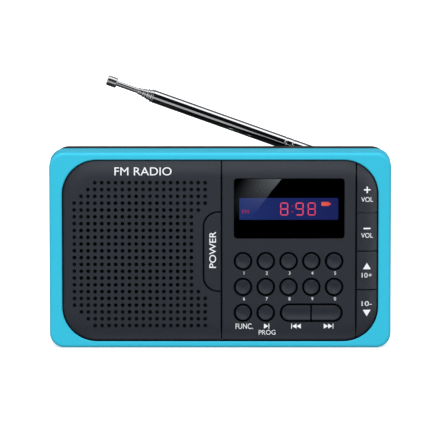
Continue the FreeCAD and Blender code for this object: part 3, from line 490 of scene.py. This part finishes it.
def print_lower_row():
    """The words and marks under the bottom row of keys."""
    function_x, row_z = middle("key_function")
    program_x = middle("key_play_program")[0]
    previous_x = middle("key_previous")[0]
    next_x = middle("key_next")[0]
    shapes = [
        lettering("FUNC.", function_x + 0.5, row_z - 5.25, 2.1, 6.6),
        lettering("PROG", program_x + 0.55, row_z - 7.65, 1.9, 6.4),
    ]
    shapes += transport_mark(program_x + 0.4, row_z - 5.2, ">|", 2.0)
    shapes += transport_mark(previous_x + 0.55, row_z - 5.2, "|<<", 2.0)
    shapes += transport_mark(next_x + 0.35, row_z - 5.2, ">>|", 2.0)
    return shapes


SIDE_LABEL_X = 55.85
printed("key_numbers", "case", "control_panel", print_key_numbers())
printed("key_words", "case", "control_panel", print_lower_row())
heading = [lettering("FM RADIO", -29.3, 67.9, 3.1, 21.7)]
printed("heading_words", "case", "speaker_grille", heading)
power_word = [lettering("POWER", -2.86, 37.8, 2.6, 14.0, 0.004, turn=90)]
printed("power_word", "power_button", "power_button", power_word)
SIDE_LABELS = {
    "key_volume_up": [
        cross(SIDE_LABEL_X, 60.8, 2.5, 0.5),
        lettering("VOL", SIDE_LABEL_X, 57.1, 1.85, 4.5),
    ],
    "key_volume_down": [
        rectangle(SIDE_LABEL_X, 45.95, 2.7, 0.55),
        lettering("VOL", SIDE_LABEL_X, 43.3, 1.85, 4.5),
    ],
    "key_ten_up": [
        triangle(SIDE_LABEL_X, 31.5, 2.5, 3.0, 90),
        lettering("10+", SIDE_LABEL_X, 27.95, 1.85, 3.9),
    ],
    "key_ten_down": [
        lettering("10-", SIDE_LABEL_X, 17.0, 1.85, 3.9),
        triangle(SIDE_LABEL_X, 13.35, 2.5, 3.0, 270),
    ],
}
for key, shapes in SIDE_LABELS.items():
    printed(f"{key}_mark", key, key, shapes)

# ---- painted shade: black rings in the gaps round the keys and round the dark front -----------------------

# Both profiles are in millimetres: distance from the key's middle, or outward from the opening, and y.
SHADE_RING_PROFILE = [(3.52, -12.525), (3.38, -12.525), (3.38, -12.0), (2.86, -12.0), (2.86, -11.9), (3.52, -11.9)]
SHADE_RING_STEPS = 48
GRILLE_RIM = 0.6  # how far the grille's rim reaches behind the frame
OPENING_CORNER = 13.3  # corner radius of the frame's opening
FRONT_SHADE_PROFILE = [(0.05, -12.2), (-0.31, -12.2), (-0.31, -11.2), (0.05, -11.2)]


def ring(mesh, loops):
    """Closes loops of vertices, each joined to the next and the last to the first, into a ring."""
    for first, second in zip(loops, loops[1:] + loops[:1]):
        for step in range(len(first)):
            after = (step + 1) % len(first)
            mesh.faces.new((first[step], first[after], second[after], second[step]))
    bmesh.ops.recalc_face_normals(mesh, faces=mesh.faces)


def seal(x_left, x_right, z):
    """A stepped black ring of painted shade in the gap round a key, drawn out sideways between two centres for
    a long key.
    """
    loops = []
    mesh = bmesh.new()
    for radius, y in SHADE_RING_PROFILE:
        loop = []
        for step in range(SHADE_RING_STEPS):
            turn = 2 * math.pi * (step + 0.5) / SHADE_RING_STEPS - math.pi / 2
            centre = x_right if step < SHADE_RING_STEPS / 2 else x_left
            point = (centre + radius * math.cos(turn), y, z + radius * math.sin(turn))
            loop.append(mesh.verts.new([c * MM for c in point]))
        loops.append(loop)
    ring(mesh, loops)
    return finished(mesh, "seal")


def make_key_shade_rings(shade_black):
    """One black ring of painted shade in the gap of each round key, and one for the long key."""
    shade_rings = bmesh.new()
    round_keys = [f"key_{digit}" for digit in range(10)] + ["key_function", "key_play_program"]
    for key in round_keys:
        x, z = middle(key)
        shade_rings.from_mesh(seal(x, x, z))
    row_z = middle("key_previous")[1]
    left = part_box("key_previous")[0].x / MM + KEY_REACH
    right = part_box("key_next")[1].x / MM - KEY_REACH
    shade_rings.from_mesh(seal(left, right, row_z))
    shown("key_shade_rings", shade_rings, shade_black, "case")


def make_front_shade_line(shade_black):
    """The thin black line of painted shade in the gap between the coloured frame and everything inside its
    opening.
    """
    low, high = (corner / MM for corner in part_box("speaker_grille"))
    edge, bottom, top = -low.x - GRILLE_RIM, low.z + GRILLE_RIM, high.z - GRILLE_RIM
    mesh = bmesh.new()
    loops = []
    for grow, y in FRONT_SHADE_PROFILE:
        side = edge + grow
        outline = rounded_outline(-side, side, bottom - grow, top + grow, OPENING_CORNER + grow, steps=16)
        loops.append([mesh.verts.new((x * MM, y * MM, z * MM)) for x, z in outline])
    ring(mesh, loops)
    shown("front_shade_line", mesh, shade_black, "case")


KEY_REACH = (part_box("key_1")[1].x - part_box("key_1")[0].x) / 2 / MM
# near black, for the painted shade in the gaps round the keys and round the opening
SHADE_RING_BLACK = moulded("painted_shade_black", colour(3, 3, 5), 0.85, 2500, 0.00001, drift=0.02, specular=0.1)
make_key_shade_rings(SHADE_RING_BLACK)
make_front_shade_line(SHADE_RING_BLACK)

# ---- rating label on the back, left blank ----------------------------------------------------------------

LABEL = (-56.4, -15.6, 16.6, 57.4)  # left, right, bottom, top
LABEL_CORNER = 1.5
RULE = 0.25  # thickness of the ruled lines
RULE_RISES = (-0.42, -0.25, -0.08, 0.09, 0.26, 0.42)  # level lines, as shares of the label's height


def on_back(name, shapes, sunk, thick, material):
    """Flat shapes laid in the back, their faces sunk millimetres below the cover's, thick deep."""
    whole = joined(shapes)
    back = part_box("rear_cover")[1].y / MM
    for vertex in whole.verts:
        depth = back - sunk - (thick if vertex.co.y < 0 else 0)
        vertex.co = (vertex.co.x * MM, depth * MM, vertex.co.z * MM)
    shown(name, whole, material, "case")


def make_label():
    """A silver film label with an empty ruled form on it."""
    left, right, low, high = LABEL
    x, z, width, height = (left + right) / 2, (low + high) / 2, right - left, high - low
    film = moulded("silver_label_film", colour(168, 171, 176), 0.4, 2600, 0.000002, drift=0.02)
    ink = moulded("grey_label_ink", colour(58, 60, 66), 0.5, 3000, 0.000002, specular=0.2)
    on_back("label", [plate(rounded_outline(*LABEL, LABEL_CORNER))], 0.05, 0.16, film)
    rules = [rectangle(x, z + rise * height, 0.88 * width, RULE) for rise in RULE_RISES]
    rules += [rectangle(x + side * 0.44 * width, z, RULE, 0.84 * height + RULE) for side in (-1, 1)]
    rules.append(rectangle(x - 0.12 * width, z, RULE, 0.5 * height))
    on_back("label_rules", rules, 0.035, 0.03, ink)


make_label()

# ---- display ------------------------------------------------------------------------------------------

module_low, module_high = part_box("display_module")
window_low, window_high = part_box("display_window")
SEGMENTS = {"8": "abcdefg", "9": "abcdfg"}
DIGIT_WIDTH = 3.05
DIGIT_HEIGHT = 5.0
SEGMENT_THICK = 0.43
SEGMENT_GAP = 0.18
LAYER = 0.04  # thickness of each lit layer
FACE_Y = module_low.y / MM - LAYER
DIGIT_Y = FACE_Y - 0.05
DIGITS_Z = 53.25
DIGITS = [("8", 24.35), ("9", 30.2), ("8", 34.8)]


def segment(x, z, length, upright):
    """One bar of a numeral, with pointed ends."""
    a, b = length / 2, SEGMENT_THICK / 2
    corners = [(-a, 0), (-a + b, -b), (a - b, -b), (a, 0), (a - b, b), (-a + b, b)]
    if upright:
        corners = [(-q, p) for p, q in corners]
    return plate([(x + p, z + q) for p, q in corners])


def numeral(digit, x):
    """A seven-segment numeral centred on x."""
    half_width = (DIGIT_WIDTH - SEGMENT_THICK) / 2
    half_height = (DIGIT_HEIGHT - SEGMENT_THICK) / 2
    level = {"a": half_height, "g": 0, "d": -half_height}
    side = {"f": (-1, 1), "b": (1, 1), "e": (-1, -1), "c": (1, -1)}
    shapes = []
    for bar in SEGMENTS[digit]:
        if bar in level:
            shapes.append(segment(x, DIGITS_Z + level[bar], 2 * half_width - SEGMENT_GAP, False))
        else:
            across, up = side[bar]
            z = DIGITS_Z + up * half_height / 2
            shapes.append(segment(x + across * half_width, z, half_height - SEGMENT_GAP, True))
    return shapes


def disc(x, z, radius, count=20):
    turns = [2 * math.pi * k / count for k in range(count)]
    return plate([(x + radius * math.cos(t), z + radius * math.sin(t)) for t in turns])


def behind_window(name, shapes, y, material):
    """Flat shapes set at depth y inside the display, one layer thick."""
    whole = joined(shapes)
    for vertex in whole.verts:
        depth = y if vertex.co.y < 0 else y + LAYER
        vertex.co = (vertex.co.x * MM, depth * MM, vertex.co.z * MM)
    shown(name, whole, material, "case")


def make_display():
    """The blue face and what is lit on it."""
    low, high = module_low / MM, module_high / MM
    blue = lit(
        "blue_backlight",
        # the backlight's glow is real; its lighter left end is partly painted reflection of the window's glint
        ((0.0, colour(34, 52, 112)), (0.35, colour(31, 43, 100)), (1.0, colour(29, 37, 92))),
        1.1,
        (low.x * MM, high.x * MM),
    )
    red = lit(
        "red_segments",
        ((0.0, colour(232, 74, 118)), (0.5, colour(236, 86, 108)), (1.0, colour(228, 70, 110))),
        1.15,
        (22 * MM, 37 * MM),
    )
    orange = lit(
        "orange_mark",
        ((0.0, colour(236, 98, 82)), (1.0, colour(222, 74, 60))),
        1.1,
        (38 * MM, 43 * MM),
    )
    dim = lit(
        "dim_red_mark",
        ((0.0, colour(176, 36, 80)), (1.0, colour(170, 36, 84))),
        1.0,
        (8 * MM, 11 * MM),
    )
    behind_window(
        "display_face",
        [plate(rounded_outline(low.x + 0.6, high.x - 0.6, low.z + 1.4, high.z - 1.4, 0.4))],
        FACE_Y,
        blue,
    )
    behind_window("display_numerals", [s for d, x in DIGITS for s in numeral(d, x)], DIGIT_Y, red)
    behind_window("display_colon", [disc(27.45, 52.2, 0.32), disc(27.45, 54.35, 0.28)], DIGIT_Y, dim)
    battery = [(38.5, 54.45), (41.2, 54.45), (42.2, 55.2), (41.2, 55.95), (38.5, 55.95)]
    behind_window("display_battery_mark", [plate(battery)], DIGIT_Y, orange)
    behind_window("display_band_mark", [lettering("FM", 9.65, 52.2, 1.4, 2.5)], DIGIT_Y, dim)


make_display()

# ---- studio -------------------------------------------------------------------------------------------

SHEEN_TINT = (0.84, 0.92, 1.0)


def make_floor():
    """A plain pale floor, far larger than the view. Polished parts see the studio past it."""
    half = 20.0
    cells = 8
    mesh = bmesh.new()
    bmesh.ops.create_grid(mesh, x_segments=cells, y_segments=cells, size=half)
    floor = bpy.data.objects.new("floor", finished(mesh, "floor"))
    floor.location.z = -0.0002
    bpy.context.scene.collection.objects.link(floor)
    shader = Shader("pale_floor")
    grain = shader.noise(3)
    shader.join(
        shader.ramp(grain, (0.0, (0.9, 0.9, 0.9, 1)), (1.0, (0.94, 0.94, 0.94, 1))),
        shader.surface.inputs["Base Color"],
    )
    shader.set(Roughness=0.9, Specular_IOR_Level=0.0, Emission_Strength=0.42, Emission_Color=(1, 1, 1, 1))
    floor.data.materials.append(shader.material)
    floor.visible_glossy = False
    floor.visible_diffuse = False
    floor.visible_transmission = False
    floor.visible_shadow = False


WALL_LEVEL = 0.006  # what polished parts see beyond the ceiling
CEILING_LEVEL = 1.6
BEHIND_LEVEL = 0.13
MATT_LOW = 0.43  # even light for matt surfaces, from below
MATT_RISE = 0.44  # and how much more comes from above


def make_world():
    """A light tent: even light for matt surfaces, and a white ceiling over dark walls for polished ones."""
    world = bpy.data.worlds.new("studio")
    bpy.context.scene.world = world
    world.use_nodes = True
    tree = world.node_tree
    tree.nodes.clear()

    def add(kind, **settings):
        node = tree.nodes.new(kind)
        for key, value in settings.items():
            setattr(node, key, value)
        return node

    def math_node(operation, first, second):
        node = add("ShaderNodeMath", operation=operation)
        for socket, value in zip(node.inputs, (first, second)):
            if isinstance(value, bpy.types.NodeSocket):
                tree.links.new(value, socket)
            else:
                socket.default_value = value
        return node.outputs[0]

    def step(value, low, high):
        node = add("ShaderNodeMapRange", interpolation_type="SMOOTHSTEP")
        node.inputs["From Min"].default_value = low
        node.inputs["From Max"].default_value = high
        tree.links.new(value, node.inputs["Value"])
        return node.outputs["Result"]

    def background(strength):
        node = add("ShaderNodeBackground")
        if isinstance(strength, bpy.types.NodeSocket):
            tree.links.new(strength, node.inputs["Strength"])
        else:
            node.inputs["Strength"].default_value = strength
        return node

    def chosen(factor, first, second):
        node = add("ShaderNodeMixShader")
        tree.links.new(factor, node.inputs[0])
        tree.links.new(first.outputs[0], node.inputs[1])
        tree.links.new(second.outputs[0], node.inputs[2])
        return node

    axes = add("ShaderNodeSeparateXYZ")
    tree.links.new(add("ShaderNodeTexCoord").outputs["Generated"], axes.inputs[0])
    up, away = axes.outputs["Z"], axes.outputs["Y"]
    # the ceiling ends a little behind the radio, so the top of a level tube mirrors its dark edge
    ceiling = math_node("MULTIPLY", step(up, 0.83, 0.86), step(away, 0.30, 0.22))
    behind = math_node("MULTIPLY", step(away, 0.45, 0.6), BEHIND_LEVEL)
    reflected = math_node("ADD", math_node("MULTIPLY", ceiling, CEILING_LEVEL), behind)
    reflected = math_node("ADD", reflected, WALL_LEVEL)
    path = add("ShaderNodeLightPath")
    rising = step(up, -0.35, 0.25)
    matt = background(math_node("ADD", math_node("MULTIPLY", rising, MATT_RISE), MATT_LOW))
    polished = background(reflected)
    seen = background(1.0)
    mirrored = math_node("MAXIMUM", path.outputs["Is Glossy Ray"], path.outputs["Is Transmission Ray"])
    whole = chosen(mirrored, matt, polished)
    whole = chosen(path.outputs["Is Camera Ray"], whole, seen)
    output = add("ShaderNodeOutputWorld")
    tree.links.new(whole.outputs[0], output.inputs[0])


def softbox(name, place, target, size, power, mirrored_in=None, tint=(1, 1, 1)):
    """A square soft light for matt surfaces or, given mirrored_in, only a soft reflection on those pieces."""
    data = bpy.data.lights.new(name, "AREA")
    data.size = size
    data.energy = power
    data.color = tint
    light = bpy.data.objects.new(name, data)
    light.location = place
    light.rotation_euler = (Vector(target) - Vector(place)).to_track_quat("-Z", "Y").to_euler()
    light.visible_glossy = mirrored_in is not None
    light.visible_diffuse = mirrored_in is None
    light.light_linking.receiver_collection = mirrored_in
    bpy.context.scene.collection.objects.link(light)


CAMERA_TARGET = Vector((0.5 * MM, 0, 46.75 * MM))
CAMERA_DISTANCE = 2.0
CAMERA_ELEVATION = math.radians(8.7)
CAMERA_LENS = 424.8
CAMERA_PLACE = CAMERA_TARGET + CAMERA_DISTANCE * Vector(
    (0, -math.cos(CAMERA_ELEVATION), math.sin(CAMERA_ELEVATION))
)


GLINT_START = 0.27  # how far up the window the glint begins
GLINT_REACH = 0.432  # how far across the window its slanted edge reaches at the top
GLINT_FADE = 14 * MM  # how far it takes to fade, on the card
GLINT_LEVEL = 3.0
GLINT_STAND_OFF = 200 * MM


def make_window_reflection():
    """A graded card in front of the radio that only the window mirrors: a slanted glint."""

    def on_card(x, z):
        """Where the camera's reflected ray through window point (x, z) meets the card."""
        point = Vector((x, window_low.y, z))
        ray = point - CAMERA_PLACE
        share = GLINT_STAND_OFF / ray.y
        return point + Vector((ray.x, -ray.y, ray.z)) * share

    left, low, high = window_low.x, window_low.z, window_high.z
    width = window_high.x - left
    slant_top = left + GLINT_REACH * width
    corners = [(left, low), (left + 0.2 * MM, low), (slant_top, high), (left, high)]
    top = Vector(on_card(slant_top, high))
    bottom = Vector(on_card(left, low))
    along = (top - bottom).normalized()
    inward = Vector((-along.z, 0, along.x))
    window = collected("glint_receivers", lambda name: name == "display_window")
    shader, glow = unseen_card("glint_card", [on_card(x, z) for x, z in corners], window)
    distance = shader.add("ShaderNodeVectorMath", operation="DOT_PRODUCT")
    distance.inputs[1].default_value = inward
    offset = shader.add("ShaderNodeVectorMath", operation="SUBTRACT")
    offset.inputs[1].default_value = top
    shader.join(shader.place, offset.inputs[0])
    shader.join(offset.outputs[0], distance.inputs[0])
    fade = shader.add("ShaderNodeMapRange", interpolation_type="SMOOTHSTEP")
    fade.inputs["From Min"].default_value = GLINT_FADE
    fade.inputs["From Max"].default_value = 0
    shader.join(distance.outputs["Value"], fade.inputs["Value"])
    axes = shader.add("ShaderNodeSeparateXYZ")
    shader.join(shader.place, axes.inputs["Vector"])
    rise = shader.add("ShaderNodeMapRange")
    rise.inputs["From Min"].default_value = bottom.z + GLINT_START * (top.z - bottom.z)
    rise.inputs["From Max"].default_value = top.z
    shader.join(axes.outputs["Z"], rise.inputs["Value"])
    steep = shader.add("ShaderNodeMath", operation="POWER")
    steep.inputs[1].default_value = 2.0
    shader.join(rise.outputs["Result"], steep.inputs[0])
    strength = shader.add("ShaderNodeMath", operation="MULTIPLY")
    shader.join(fade.outputs["Result"], strength.inputs[0])
    shader.join(steep.outputs[0], strength.inputs[1])
    level = shader.add("ShaderNodeMath", operation="MULTIPLY")
    level.inputs[1].default_value = GLINT_LEVEL
    shader.join(strength.outputs[0], level.inputs[0])
    shader.join(level.outputs[0], glow.inputs["Strength"])
    glow.inputs["Color"].default_value = (*SHEEN_TINT, 1)


def unseen_card(name, corners, receivers):
    """A flat card that nothing but the receivers mirrors. Gives the card and its still unlit shader."""
    mesh = bmesh.new()
    mesh.faces.new([mesh.verts.new(corner) for corner in corners])
    card = bpy.data.objects.new(name, finished(mesh, name))
    bpy.context.scene.collection.objects.link(card)
    card.visible_camera = False
    card.visible_diffuse = False
    card.visible_shadow = False
    card.visible_transmission = False
    card.light_linking.receiver_collection = receivers
    shader = Shader(name)
    shader.tree.nodes.remove(shader.surface)
    glow = shader.add("ShaderNodeEmission")
    shader.join(glow.outputs[0], shader.tree.nodes["Material Output"].inputs["Surface"])
    card.data.materials.append(shader.material)
    return shader, glow


def collected(name, wanted):
    """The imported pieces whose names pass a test, as a collection for light linking."""
    chosen = bpy.data.collections.new(name)
    for node_name, node in nodes.items():
        if wanted(node_name):
            chosen.objects.link(node)
    return chosen


AERIAL_CARD_TURN = math.radians(-23)  # below the line of sight
AERIAL_CARD_DISTANCE = 0.5
AERIAL_CARD_HALF_LENGTH = 0.6
AERIAL_CARD_HALF_WIDTH = 0.15
AERIAL_CARD_LEVEL = 0.45
SIDE_CARD_X = 1.0
SIDE_CARD_LEVEL = 0.9


def make_aerial_reflections():
    """What only the aerial mirrors: a grey card before and below its tubes, and a white card at each side."""
    chrome = collected("aerial_parts", lambda name: name.startswith("aerial_"))
    tube_low, tube_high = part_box("aerial_tube_1")
    centre = (tube_low + tube_high) / 2
    along = Vector((tube_low.x - tube_high.x, 0, tube_high.z - tube_low.z)).normalized()
    toward = (CAMERA_PLACE - centre).normalized()
    upward = along.cross(toward)
    facing = (toward * math.cos(AERIAL_CARD_TURN) + upward * math.sin(AERIAL_CARD_TURN)).normalized()
    across = facing.cross(along).normalized()
    length, width = along * AERIAL_CARD_HALF_LENGTH, across * AERIAL_CARD_HALF_WIDTH
    place = centre + facing * AERIAL_CARD_DISTANCE
    corners = [place - length - width, place + length - width, place + length + width, place - length + width]
    glow = unseen_card("aerial_card", corners, chrome)[1]
    glow.inputs["Strength"].default_value = AERIAL_CARD_LEVEL
    for side, name in ((-1, "left_card"), (1, "right_card")):
        x = side * SIDE_CARD_X
        glow = unseen_card(name, [(x, -1.8, -0.3), (x, 0.7, -0.3), (x, 0.7, 0.8), (x, -1.8, 0.8)], chrome)[1]
        glow.inputs["Strength"].default_value = SIDE_CARD_LEVEL


def make_camera():
    """Almost straight on, a little above the radio, and far enough back to flatten it."""
    data = bpy.data.cameras.new("camera")
    data.lens = CAMERA_LENS
    data.clip_start = 0.1
    data.clip_end = 100
    camera = bpy.data.objects.new("camera", data)
    camera.location = CAMERA_PLACE
    camera.rotation_euler = (CAMERA_TARGET - CAMERA_PLACE).to_track_quat("-Z", "Y").to_euler()
    bpy.context.scene.collection.objects.link(camera)
    bpy.context.scene.camera = camera


make_floor()
make_world()
LIGHTS_AIM = (0, 0, 0.04)
SOFT_LIGHTS = [
    ("key_light", (-0.5, -1.2, 0.8), 11.5),
    ("fill_light", (0.7, -1.3, 0.6), 6),
    ("top_light", (0, 0.5, 1.4), 4.6),
    ("back_light", (0.7, 1.5, 0.12), 20),
]
SHEEN_LIGHTS = [
    ("left_sheen", (-0.9, -1.2, 0.1), 0.6, 7.0),
    ("right_sheen", (1.0, -1.2, 0.1), 0.6, 8.5),
    ("top_sheen", (0, -1.3, 0.5), 0.6, 3.3),
    ("low_sheen", (0, -0.8, -0.9), 0.5, 1.6),
]
for name, place, power in SOFT_LIGHTS:
    softbox(name, place, LIGHTS_AIM, 0.8, power)
sheen = collected(
    "dark_front",
    lambda name: name.startswith("key_") or name in ("speaker_grille", "control_panel", "power_button"),
)
for name, place, size, power in SHEEN_LIGHTS:
    softbox(name, place, LIGHTS_AIM, size, power, sheen, SHEEN_TINT)
for case_part in ("front_frame", "rear_cover"):
    nodes[case_part].visible_glossy = False
make_window_reflection()
make_aerial_reflections()
make_camera()
bpy.context.scene.view_settings.view_transform = "Standard"
